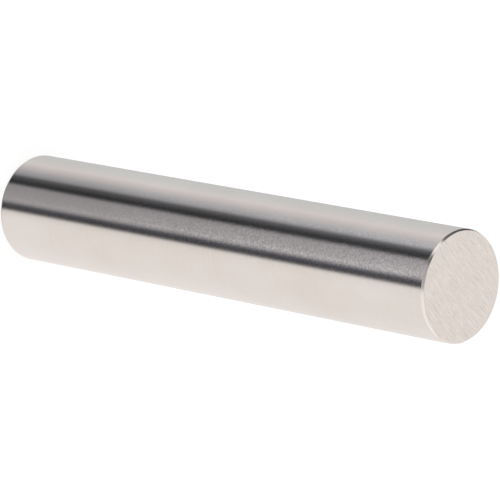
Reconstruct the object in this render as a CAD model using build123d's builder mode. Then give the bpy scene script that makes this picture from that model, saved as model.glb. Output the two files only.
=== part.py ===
from build123d import *

import os

# A plain cylindrical pin gauge: one piece of hardened gauge steel, ground and
# lapped to size over its whole length, with a square ground face and a small
# 45 degree chamfer at each end. It stands on one end, its axis along +Z, with
# the origin at the centre of the end it stands on.

# Driving dimensions, in millimetres
DIAMETER = 9.525        # gauging diameter, nominal 3/8 in
LENGTH = 50.8           # overall length, 2 in
CHAMFER = 0.15          # leg of the 45 degree chamfer at each end
EDGE_BREAK = 0.03       # radius that deburring leaves at both edges of a chamfer

FACE_RADIUS = DIAMETER / 2 - CHAMFER        # flat ground part of each end face
LAND_LENGTH = LENGTH - 2 * CHAMFER          # ground cylinder between the chamfers

os.makedirs("parts", exist_ok=True)

with BuildPart() as pin_gauge:
    # The blank: a ground bar, square at both ends
    with BuildSketch(Plane.XY) as section:
        Circle(radius=DIAMETER / 2)
    extrude(amount=LENGTH)

    # The lead-in chamfer round each end
    ends = (
        pin_gauge.edges()
        .filter_by(GeomType.CIRCLE)
        .group_by(Axis.Z)
    )
    chamfer(ends[0] + ends[-1], length=CHAMFER)

    # The edge break at the chamfer's rim and where it meets the end face
    fillet(pin_gauge.edges().filter_by(GeomType.CIRCLE), radius=EDGE_BREAK)

pin_gauge.part.label = "pin_gauge"
export_step(pin_gauge.part, "parts/pin_gauge.step")

print(f"pin_gauge: diameter {DIAMETER} mm, length {LENGTH} mm")
print(f"end face radius {FACE_RADIUS} mm, ground cylinder {LAND_LENGTH} mm long")
print(f"volume {pin_gauge.part.volume:.2f} mm3")
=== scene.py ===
"""A plain steel pin gauge standing on one end: its finish, a pale floor, soft studio light and the camera."""

import math

import bpy
import numpy as np
from mathutils import Matrix, Vector


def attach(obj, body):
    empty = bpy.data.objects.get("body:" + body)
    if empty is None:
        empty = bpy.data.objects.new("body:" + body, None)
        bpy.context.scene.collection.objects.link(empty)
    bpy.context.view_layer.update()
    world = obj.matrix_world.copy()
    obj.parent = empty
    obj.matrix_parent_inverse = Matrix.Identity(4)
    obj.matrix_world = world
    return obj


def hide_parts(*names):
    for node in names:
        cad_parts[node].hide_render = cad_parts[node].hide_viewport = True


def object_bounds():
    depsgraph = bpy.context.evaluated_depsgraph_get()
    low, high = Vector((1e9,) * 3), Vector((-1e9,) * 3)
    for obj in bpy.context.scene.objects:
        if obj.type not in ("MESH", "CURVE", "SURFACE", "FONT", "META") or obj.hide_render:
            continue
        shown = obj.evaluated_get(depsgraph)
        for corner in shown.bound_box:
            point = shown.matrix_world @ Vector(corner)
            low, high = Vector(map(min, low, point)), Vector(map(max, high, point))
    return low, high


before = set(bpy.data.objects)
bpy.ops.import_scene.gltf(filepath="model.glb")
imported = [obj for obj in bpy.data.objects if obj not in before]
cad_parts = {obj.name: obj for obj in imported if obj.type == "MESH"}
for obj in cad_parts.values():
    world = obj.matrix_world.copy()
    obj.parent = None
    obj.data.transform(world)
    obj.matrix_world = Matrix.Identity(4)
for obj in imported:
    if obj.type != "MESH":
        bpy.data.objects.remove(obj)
cad_lo, cad_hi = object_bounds()
scene = bpy.context.scene

MM = 0.001

# The pin's driving sizes. The outside comes from the CAD box, so the finished mesh never passes it.
RADIUS = min(-cad_lo.x, cad_hi.x, -cad_lo.y, cad_hi.y)
BOTTOM, TOP = cad_lo.z, cad_hi.z
LENGTH = TOP - BOTTOM
CHAMFER = 0.15 * MM
EDGE_BREAK = 0.03 * MM
SEGMENTS = 384


# ---------------------------------------------------------------- the pin's mesh


def chamfer_at(turn, width, seed):
    """The chamfer's size round the pin: a little wider on one side and never quite even."""
    c = width * (1 + 0.24 * math.cos(turn + math.radians(100))) + 0.005 * math.sin(5 * turn + seed)
    return (c + 0.004 * math.sin(13 * turn + 2.1 * seed) + 0.002 * math.sin(31 * turn + 0.7 * seed)) * MM


def end_profile(chamfer):
    """Points (radius, height above the end, normal angle) from the middle of an end face to the ground cylinder.
    The normal's angle is 0 along the radius and 90 degrees out of the end."""
    # a little longer along the pin than it is deep, which fits the outline best. Its shading stays at 45 degrees
    face_r = RADIUS - 0.8 * chamfer
    back = EDGE_BREAK * math.tan(math.radians(22.5))
    pts = []
    for share in (0.06, 0.14, 0.24, 0.35, 0.46, 0.57, 0.68, 0.78, 0.87, 0.94, 0.98):
        pts.append((face_r * share, 0.0, 90.0))
    # the edge break between the face and the chamfer
    cx, cz = face_r - back, EDGE_BREAK
    for k in range(5):
        a = math.radians(90 - 45 * k / 4)
        pts.append((cx + EDGE_BREAK * math.cos(a), cz - EDGE_BREAK * math.sin(a), math.degrees(a)))
    # the flat of the chamfer, with one ring half way up
    cx2, cz2 = RADIUS - EDGE_BREAK, 1.3 * chamfer + back
    start = pts[-1]
    end = (
        cx2 + EDGE_BREAK * math.cos(math.radians(45)),
        cz2 - EDGE_BREAK * math.sin(math.radians(45)),
        45.0,
    )
    pts.append(((start[0] + end[0]) / 2, (start[1] + end[1]) / 2, 45.0))
    # the edge break between the chamfer and the cylinder
    for k in range(5):
        a = math.radians(45 - 45 * k / 4)
        pts.append((cx2 + EDGE_BREAK * math.cos(a), cz2 - EDGE_BREAK * math.sin(a), math.degrees(a)))
    return pts


def build_pin():
    n, steps = SEGMENTS, 32
    end = end_profile(CHAMFER)
    columns = []
    for turn in np.arange(n) * 2 * math.pi / n:
        low_end, high_end = end_profile(chamfer_at(turn, 0.115, 1.3)), end_profile(chamfer_at(turn, 0.142, 4.1))
        start, stop = BOTTOM + low_end[-1][1], TOP - high_end[-1][1]
        column = [(r, BOTTOM + h, -a) for r, h, a in low_end]
        column += [(RADIUS, start + (stop - start) * k / steps, 0.0) for k in range(1, steps)]
        column += [(r, TOP - h, a) for r, h, a in reversed(high_end)]
        columns.append((turn, column))
    rings = columns[0][1]
    verts, normals = [], []
    for i in range(len(rings)):
        for turn, column in columns:
            r, z, a = column[i]
            ca, sa = math.cos(math.radians(a)), math.sin(math.radians(a))
            verts.append((r * math.cos(turn), r * math.sin(turn), z))
            normals.append((ca * math.cos(turn), ca * math.sin(turn), sa))
    low, high = len(verts), len(verts) + 1
    verts += [(0, 0, BOTTOM), (0, 0, TOP)]
    normals += [(0, 0, -1), (0, 0, 1)]

    faces, place = [], []
    last = len(rings) - 1
    chamfer_rings = len(end)
    for i in range(last):
        island = "bottom" if i < chamfer_rings - 1 else "top" if i >= last - chamfer_rings + 1 else "side"
        for j in range(n):
            k = (j + 1) % n
            faces.append((i * n + j, i * n + k, (i + 1) * n + k, (i + 1) * n + j))
            place.append((island, j))
    for j in range(n):
        k = (j + 1) % n
        faces.append((low, k, j))
        place.append(("bottom", j))
        faces.append((high, last * n + j, last * n + k))
        place.append(("top", j))

    mesh = bpy.data.meshes.new("ground_pin")
    mesh.from_pydata(verts, [], faces)
    mesh.validate()
    mesh.polygons.foreach_set("use_smooth", [True] * len(mesh.polygons))

    # One unrolled strip for the cylinder and a disc for each end with its chamfer
    uv = mesh.uv_layers.new(name="OFBake")
    per_m = 0.98 / LENGTH
    girth = 2 * math.pi * RADIUS * per_m
    disc = 0.19 / RADIUS
    for poly, (island, j) in zip(mesh.polygons, place):
        for li in poly.loop_indices:
            v = mesh.loops[li].vertex_index
            x, y, z = verts[v]
            if island == "side":
                col = v % n
                share = 1.0 if (j == n - 1 and col == 0) else col / n
                uv.data[li].uv = (0.01 + (z - BOTTOM) * per_m, 0.008 + girth * share)
            else:
                cx = 0.205 if island == "bottom" else 0.605
                flip = -1 if island == "bottom" else 1
                uv.data[li].uv = (cx + flip * x * disc, 0.8 + y * disc)
    mesh.normals_split_custom_set_from_vertices(normals)
    obj = bpy.data.objects.new("ground_pin", mesh)
    scene.collection.objects.link(obj)
    return obj


# ---------------------------------------------------------------- node helpers


class Tree:
    """A node tree with short calls for the nodes used here."""

    def __init__(self, tree):
        self.t = tree
        tree.nodes.clear()

    def node(self, kind, **props):
        made = self.t.nodes.new(kind)
        for key, value in props.items():
            setattr(made, key, value)
        return made

    def put(self, socket, value):
        if isinstance(value, bpy.types.NodeSocket):
            self.t.links.new(value, socket)
        elif value is not None:
            socket.default_value = value

    def math(self, op, a, b=None, c=None, clamp=False):
        m = self.node("ShaderNodeMath", operation=op, use_clamp=clamp)
        for socket, value in zip(m.inputs, (a, b, c)):
            self.put(socket, value)
        return m.outputs[0]

    def mapped(self, value, lo, hi, out_lo=0.0, out_hi=1.0, kind="SMOOTHSTEP"):
        m = self.node("ShaderNodeMapRange", interpolation_type=kind)
        for name, v in (("Value", value), ("From Min", lo), ("From Max", hi), ("To Min", out_lo), ("To Max", out_hi)):
            self.put(m.inputs[name], v)
        return m.outputs["Result"]

    def mix(self, factor, a, b):
        m = self.node("ShaderNodeMix", data_type="RGBA")
        self.put(m.inputs[0], factor)
        self.put(m.inputs[6], a)
        self.put(m.inputs[7], b)
        return m.outputs[2]

    def mix_value(self, factor, a, b):
        m = self.node("ShaderNodeMix", data_type="FLOAT")
        self.put(m.inputs[0], factor)
        self.put(m.inputs[2], a)
        self.put(m.inputs[3], b)
        return m.outputs[0]

    def scaled(self, vector, x, y, z):
        m = self.node("ShaderNodeMapping")
        self.put(m.inputs["Vector"], vector)
        m.inputs["Scale"].default_value = (x, y, z)
        return m.outputs[0]

    def noise(self, vector, scale=1.0, detail=2.0, rough=0.5, distortion=0.0):
        m = self.node("ShaderNodeTexNoise", noise_dimensions="3D")
        self.put(m.inputs["Vector"], vector)
        m.inputs["Scale"].default_value = scale
        m.inputs["Detail"].default_value = detail
        m.inputs["Roughness"].default_value = rough
        m.inputs["Distortion"].default_value = distortion
        return m.outputs["Fac"]

    def ramp(self, factor, stops, kind="EASE"):
        m = self.node("ShaderNodeValToRGB")
        m.color_ramp.interpolation = kind
        e = m.color_ramp.elements
        while len(e) > 1:
            e.remove(e[0])
        e[0].position, e[0].color = stops[0][0], (*stops[0][1], 1)
        for p, c in stops[1:]:
            e.new(p).color = (*c, 1)
        self.put(m.inputs[0], factor)
        return m.outputs[0]


def rgb(level, tint=(1.0, 1.0, 1.0)):
    return tuple(level * t for t in tint)


# ---------------------------------------------------------------- the steel


def steel():
    mat = bpy.data.materials.new("gauge_steel")
    mat.use_nodes = True
    t = Tree(mat.node_tree)
    out = t.node("ShaderNodeOutputMaterial")
    bsdf = t.node("ShaderNodeBsdfPrincipled")
    t.put(out.inputs["Surface"], bsdf.outputs[0])
    bsdf.inputs["Metallic"].default_value = 1.0

    where = t.node("ShaderNodeTexCoord").outputs["Object"]
    xyz = t.node("ShaderNodeSeparateXYZ")
    t.put(xyz.inputs[0], where)
    x, y, z = xyz.outputs

    # how far a point is outside the ground cylinder's length: the chamfers and the end faces
    off_middle = t.math("ABSOLUTE", t.math("SUBTRACT", z, (BOTTOM + TOP) / 2))
    past_land = t.math("SUBTRACT", off_middle, LENGTH / 2 - CHAMFER)
    from_axis = t.math("SQRT", t.math("MULTIPLY_ADD", x, x, t.math("MULTIPLY", y, y)))
    on_bevel = t.mapped(t.math("SUBTRACT", RADIUS, from_axis), 0.006 * MM, 0.02 * MM)
    on_end = t.mapped(past_land, CHAMFER - 0.014 * MM, CHAMFER - 0.004 * MM)

    # The cylinder: a fine lay round the pin from grinding, softened by lapping into a close grain
    lay = t.noise(t.scaled(where, 2600, 2600, 11000), detail=2.0, rough=0.6)
    rings = t.noise(t.scaled(where, 160, 160, 6500), detail=3.0, rough=0.6)
    grain = t.noise(where, scale=7500, detail=2.0, rough=0.6)
    cloud = t.noise(t.scaled(where, 160, 160, 110), detail=3.0, rough=0.55)

    # The ends: a fine straight lay from surface grinding, the two ends not quite in line
    def straight(angle, along, across, seed):
        m = t.node("ShaderNodeMapping", vector_type="POINT")
        t.put(m.inputs["Vector"], where)
        m.inputs["Rotation"].default_value = (0, 0, math.radians(-angle))
        m.inputs["Location"].default_value = (seed, seed * 0.37, 0)
        return t.scaled(m.outputs[0], along, across, 40.0)

    scratch_a = t.noise(straight(59.8, 520, 7000, 0.013), detail=2.0, rough=0.6)
    scratch_b = t.noise(straight(61.5, 1700, 11500, 0.021), detail=1.0, rough=0.6)
    scratch_c = t.noise(straight(58.0, 620, 3400, 0.034), detail=2.0, rough=0.6)
    end_lay = t.math("MULTIPLY_ADD", scratch_b, 0.45, t.math("MULTIPLY_ADD", scratch_c, 0.15, t.math("MULTIPLY", scratch_a, 0.4)))
    # a few deeper and brighter single scratches stand out of it
    dark = t.mapped(t.noise(straight(61.5, 420, 7400, 0.055), detail=0.0), 0.33, 0.22)
    pale = t.mapped(t.noise(straight(58.5, 520, 8200, 0.071), detail=0.0), 0.67, 0.78)

    # Colour: bare steel, a little warm, with the slow unevenness of a handled ground surface
    shade_side = t.math("MULTIPLY_ADD", grain, 0.22, t.math("MULTIPLY_ADD", rings, 0.13, t.math("MULTIPLY", cloud, 0.65)))
    side_colour = t.mix(
        t.mapped(shade_side, 0.36, 0.64, kind="LINEAR"), (0.656, 0.626, 0.602, 1), (0.704, 0.684, 0.668, 1)
    )
    end_colour = t.mix(
        t.mapped(end_lay, 0.36, 0.64, kind="LINEAR"), (0.622, 0.596, 0.576, 1), (0.740, 0.714, 0.696, 1)
    )
    end_colour = t.mix(t.math("MULTIPLY", dark, 0.45), end_colour, (0.52, 0.496, 0.478, 1))
    end_colour = t.mix(t.math("MULTIPLY", pale, 0.45), end_colour, (0.83, 0.805, 0.79, 1))
    t.put(bsdf.inputs["Base Color"], t.mix(on_end, side_colour, end_colour))

    # Roughness
    side_rough = t.mapped(
        t.math("MULTIPLY_ADD", grain, 0.45, t.math("MULTIPLY_ADD", lay, 0.3, t.math("MULTIPLY", cloud, 0.25))),
        0.3, 0.7, 0.125, 0.185, kind="LINEAR",
    )
    end_rough = t.mapped(end_lay, 0.3, 0.7, 0.30, 0.20, kind="LINEAR")
    rough = t.mix_value(on_bevel, side_rough, 0.2)
    rough = t.mix_value(on_end, rough, end_rough)
    t.put(bsdf.inputs["Roughness"], rough)

    # Relief
    side_height = t.math("MULTIPLY_ADD", lay, 0.8, t.math("MULTIPLY_ADD", rings, 0.8, t.math("MULTIPLY", grain, 0.6)))
    bevel_height = t.noise(t.scaled(where, 900, 900, 9000), detail=2.0, rough=0.6)
    height = t.mix_value(on_bevel, side_height, t.math("MULTIPLY", bevel_height, 4.0))
    height = t.mix_value(on_end, height, t.math("MULTIPLY", end_lay, 11.0))
    bump = t.node("ShaderNodeBump")
    bump.inputs["Strength"].default_value = 1.0
    bump.inputs["Distance"].default_value = 0.0000004
    t.put(bump.inputs["Height"], height)

    # Grinding ridges run round the pin, so each speck of the ground finish leans along the pin and not round it
    specks = t.node("ShaderNodeTexVoronoi", voronoi_dimensions="3D", feature="F1")
    t.put(specks.inputs["Vector"], where)
    specks.inputs["Scale"].default_value = 12500
    each = t.node("ShaderNodeSeparateXYZ")
    t.put(each.inputs[0], specks.outputs["Color"])
    # weaker towards the foot and round the back. Both are choices for the picture, not known facts of the finish
    coarse = t.math("MULTIPLY", t.mapped(cloud, 0.3, 0.7, 0.08, 0.105), t.mapped(z, BOTTOM + 0.1 * LENGTH, BOTTOM + 0.6 * LENGTH, 0.35, 1.3))
    coarse = t.math("MULTIPLY", coarse, t.mapped(y, 0.0, 0.6 * RADIUS, 1.0, 0.3))
    lean = t.math("MULTIPLY", t.math("SUBTRACT", each.outputs[0], 0.5), coarse)
    lean = t.math("MULTIPLY", lean, t.math("SUBTRACT", 1.0, on_bevel))
    along = t.node("ShaderNodeCombineXYZ")
    t.put(along.inputs[2], lean)
    turned = t.node("ShaderNodeVectorTransform", vector_type="VECTOR", convert_from="OBJECT", convert_to="WORLD")
    t.put(turned.inputs[0], along.outputs[0])
    leaned = t.node("ShaderNodeVectorMath", operation="ADD")
    t.put(leaned.inputs[0], bump.outputs[0])
    t.put(leaned.inputs[1], turned.outputs[0])
    facing = t.node("ShaderNodeVectorMath", operation="NORMALIZE")
    t.put(facing.inputs[0], leaned.outputs[0])
    t.put(bsdf.inputs["Normal"], facing.outputs[0])
    return mat


# ---------------------------------------------------------------- the studio


def studio():
    """What the polished steel sees: a warm white room with a grey card between two black flags. Everything else,
    the floor included, is lit by an even white dome."""
    world = bpy.data.worlds.new("studio")
    scene.world = world
    world.use_nodes = True
    t = Tree(world.node_tree)
    out = t.node("ShaderNodeOutputWorld")
    way = t.node("ShaderNodeTexCoord").outputs["Generated"]
    unit = t.node("ShaderNodeVectorMath", operation="NORMALIZE")
    t.put(unit.inputs[0], way)
    xyz = t.node("ShaderNodeSeparateXYZ")
    t.put(xyz.inputs[0], unit.outputs[0])
    x, y, z = xyz.outputs
    # bearing in degrees, 0 towards -Y and 90 towards +X, and height above the horizon in degrees
    bearing = t.math("MULTIPLY", t.math("ARCTAN2", x, t.math("MULTIPLY", y, -1.0)), 180 / math.pi)
    height = t.math("MULTIPLY", t.math("ARCSINE", z), 180 / math.pi)
    turn = t.mapped(bearing, -180.0, 180.0, kind="LINEAR")

    warm = (1.048, 0.993, 0.957)
    pink = (1.035, 0.98, 0.98)
    plain = (1.004, 1.004, 0.997)
    cool = (0.975, 0.985, 1.035)
    grey = (1.005, 0.98, 1.015)
    black = (0.985, 0.99, 1.09)
    ink = (0.965, 0.985, 1.2)

    def stops(*marks):
        return [((a + 180) / 360, rgb(level, tint)) for a, level, tint in marks]

    def window(value, lo, hi, soft):
        return t.math("MULTIPLY", t.mapped(value, lo - soft, lo + soft), t.mapped(value, hi + soft, hi - soft))

    def card(under, left, right, bottom, top, level, tint, soft=3.0):
        inside = t.math("MULTIPLY", window(bearing, left, right, soft), window(height, bottom, top, soft))
        return t.mix(inside, under, (*rgb(level, tint), 1))

    # below the horizon: the edges of the upper flag slant a little, so they sit further round as they rise
    slope = t.math("MULTIPLY", window(bearing, -112.0, -57.0, 6.0), 0.15)
    skewed = t.math("SUBTRACT", bearing, t.math("MULTIPLY", slope, t.math("ADD", height, 43.0)))
    slope = t.math("MULTIPLY", window(bearing, -52.0, -28.0, 4.0), 0.5)
    skewed = t.math("SUBTRACT", skewed, t.math("MULTIPLY", slope, t.math("MINIMUM", t.math("ADD", height, 43.5), 0.0)))
    low = t.ramp(t.mapped(skewed, -180.0, 180.0, kind="LINEAR"), stops(
        (-180, 0.20, plain),
        (-168, 0.60, plain),
        (-150, 0.70, plain),
        (-140, 0.73, plain),
        (-122, 0.79, plain),
        (-104, 0.88, pink),
        (-86, 0.69, pink),
        (-76, 0.565, cool),
        (-66, 0.47, cool),
        (-60, 0.115, black),
        (-54, 0.095, black),
        (-49, 0.035, black),
        (-43, 0.018, black),
        (-40, 0.105, black),
        (-36, 0.405, grey),
        (-24, 0.455, grey),
        (-12, 0.50, grey),
        (-8.5, 0.515, grey),
        (-7, 0.72, grey),
        (-5.5, 0.535, grey),
        (-1, 0.49, grey),
        (4, 0.11, ink),
        (12, 0.027, ink),
        (16, 0.067, ink),
        (21, 0.97, warm),
        (40, 1.02, warm),
        (120, 1.02, warm),
        (145, 0.97, warm),
        (166, 0.92, warm),
        (180, 0.20, plain),
    ), kind="LINEAR")
    # at eye level: the same cards, and a grey edge of the room on the right
    side = t.ramp(turn, stops(
        (-180, 0.80, plain),
        (-118, 0.90, pink),
        (-92, 0.85, pink),
        (-72, 0.55, cool),
        (-60, 0.08, black),
        (-46, 0.05, black),
        (-34, 0.42, grey),
        (-8, 0.55, grey),
        (0, 0.35, grey),
        (6, 0.05, black),
        (16, 0.06, black),
        (24, 0.93, warm),
        (60, 1.03, warm),
        (84, 0.98, warm),
        (92, 0.42, cool),
        (104, 0.34, cool),
        (112, 0.90, warm),
        (140, 0.98, warm),
        (158, 0.82, warm),
        (180, 0.80, plain),
    ), kind="LINEAR")
    above = t.ramp(t.mapped(height, 0.0, 90.0, kind="LINEAR"), [
        (0.00, rgb(0.88, warm)),
        (0.45, rgb(1.03, warm)),
        (0.60, rgb(0.98, warm)),
        (1.00, rgb(0.76, plain)),
    ])

    # the cards are lit from above, so they brighten towards their tops, by these shares a degree
    fade = t.ramp(turn, [((a + 180) / 360, rgb(share)) for a, share in (
        (-110, 0.0), (-86, 0.012), (-76, 0.035), (-66, 0.075), (-58, 0.075), (-50, 0.016), (-42, 0.01), (-36, 0.026),
        (-28, 0.042), (-14, 0.043), (-7, 0.06), (4, 0.045), (16, 0.03), (24, 0.016), (32, 0.004), (60, 0.0),
    )], kind="LINEAR")
    rise = t.math("ADD", t.math("MINIMUM", t.math("MAXIMUM", height, -58.0), -30.0), 43.5)
    scaled = t.node("ShaderNodeVectorMath", operation="SCALE")
    t.put(scaled.inputs[0], low)
    t.put(scaled.inputs["Scale"], t.math("EXPONENT", t.math("MULTIPLY", fade, rise)))
    low = scaled.outputs[0]

    colour = t.mix(t.mapped(height, -36.0, -28.0), low, side)
    colour = t.mix(t.mapped(height, 6.0, 16.0), colour, above)

    # a large softbox up on the right, reaching down past the horizon at its far side
    colour = card(colour, 24.0, 152.0, 14.0, 54.0, 1.2, warm)
    colour = card(colour, 124.0, 152.0, -8.0, 18.0, 1.15, warm)
    # over the front: a grey card, a small black flag beside it and a small window
    colour = card(colour, -34.0, 23.0, 40.0, 57.0, 0.49, grey)
    colour = card(colour, -56.0, -33.0, 38.0, 54.0, 0.04, black)
    colour = card(colour, -84.0, -60.0, 30.0, 48.0, 1.22, warm)
    # a long black flag that slants down behind the pin on its -X side
    slant = t.math("ABSOLUTE", t.math("SUBTRACT", height, t.math("MULTIPLY_ADD", bearing, 0.628, 85.4)))
    across_flag = t.mapped(slant, 11.0, 7.0)
    low_end = t.math("MULTIPLY", t.mapped(height, -13.0, -5.0), window(bearing, -166.0, -140.0, 6.0))
    colour = t.mix(t.math("MULTIPLY", across_flag, low_end), colour, (*rgb(0.45, cool), 1))
    flag = t.math("MULTIPLY", t.math("MULTIPLY", across_flag, t.mapped(height, -7.0, -3.0)), window(bearing, -143.0, -85.0, 3.0))
    colour = t.mix(flag, colour, (*rgb(0.05, black), 1))

    seen = t.node("ShaderNodeBackground")
    t.put(seen.inputs["Color"], colour)
    dome = t.node("ShaderNodeBackground")
    dome.inputs["Color"].default_value = (1.0, 1.0, 1.0, 1)
    dome.inputs["Strength"].default_value = 1.02
    pick = t.node("ShaderNodeMixShader")
    t.put(pick.inputs[0], t.node("ShaderNodeLightPath").outputs["Is Glossy Ray"])
    t.put(pick.inputs[1], dome.outputs[0])
    t.put(pick.inputs[2], seen.outputs[0])
    t.put(out.inputs["Surface"], pick.outputs[0])
    world.cycles.sampling_method = "NONE"
    return world


def floor():
    """White paper on a lit table: it glows a little, so that only a faint shadow shows where the pin stands."""
    size = 6.0
    mesh = bpy.data.meshes.new("floor")
    mesh.from_pydata([(-size, -size, BOTTOM), (size, -size, BOTTOM), (size, size, BOTTOM), (-size, size, BOTTOM)], [], [(0, 1, 2, 3)])
    obj = bpy.data.objects.new("floor", mesh)
    scene.collection.objects.link(obj)
    mat = bpy.data.materials.new("floor_paper")
    mat.use_nodes = True
    bsdf = mat.node_tree.nodes["Principled BSDF"]
    bsdf.inputs["Base Color"].default_value = (0.26, 0.26, 0.26, 1)
    bsdf.inputs["Roughness"].default_value = 0.9
    bsdf.inputs["Specular IOR Level"].default_value = 0.0
    bsdf.inputs["Emission Color"].default_value = (1.0, 1.0, 1.0, 1)
    bsdf.inputs["Emission Strength"].default_value = 0.785
    mesh.materials.append(mat)
    obj.visible_glossy = False
    return obj


def camera():
    """The pin stands on its end and the camera is rolled, so that the pin lies across the picture with its upper end
    to the right."""
    roll, tilt = math.radians(10.70), math.radians(43.13)
    focal = 3689.9 / 500 * 36.0
    depth = 63.166 * 4.7625 * MM
    px, py = (461.1 - 249.5) / 3689.9, (286.19 - 249.5) / 3689.9
    up_slope = Vector((0, math.sin(tilt), math.cos(tilt)))
    across = Vector((1, 0, 0))
    forward = Vector((0, math.cos(tilt), -math.sin(tilt)))
    right = math.cos(roll) * up_slope - math.sin(roll) * across
    down = math.sin(roll) * up_slope + math.cos(roll) * across
    place = Vector((0, 0, TOP)) - (forward + px * right + py * down) * depth
    data = bpy.data.cameras.new("camera")
    data.sensor_width = 36.0
    data.lens = focal
    data.clip_start, data.clip_end = 0.01, 20.0
    cam = bpy.data.objects.new("camera", data)
    scene.collection.objects.link(cam)
    turn = Matrix((right, -down, -forward)).transposed().to_4x4()
    cam.matrix_world = Matrix.Translation(place) @ turn
    scene.camera = cam
    return cam


pin = build_pin()
pin.data.materials.append(steel())
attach(pin, "root")
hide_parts("pin_gauge")
floor()
studio()
camera()

scene.view_settings.view_transform = "Standard"
scene.view_settings.look = "None"
scene.view_settings.exposure = 0.0
scene.view_settings.gamma = 1.0
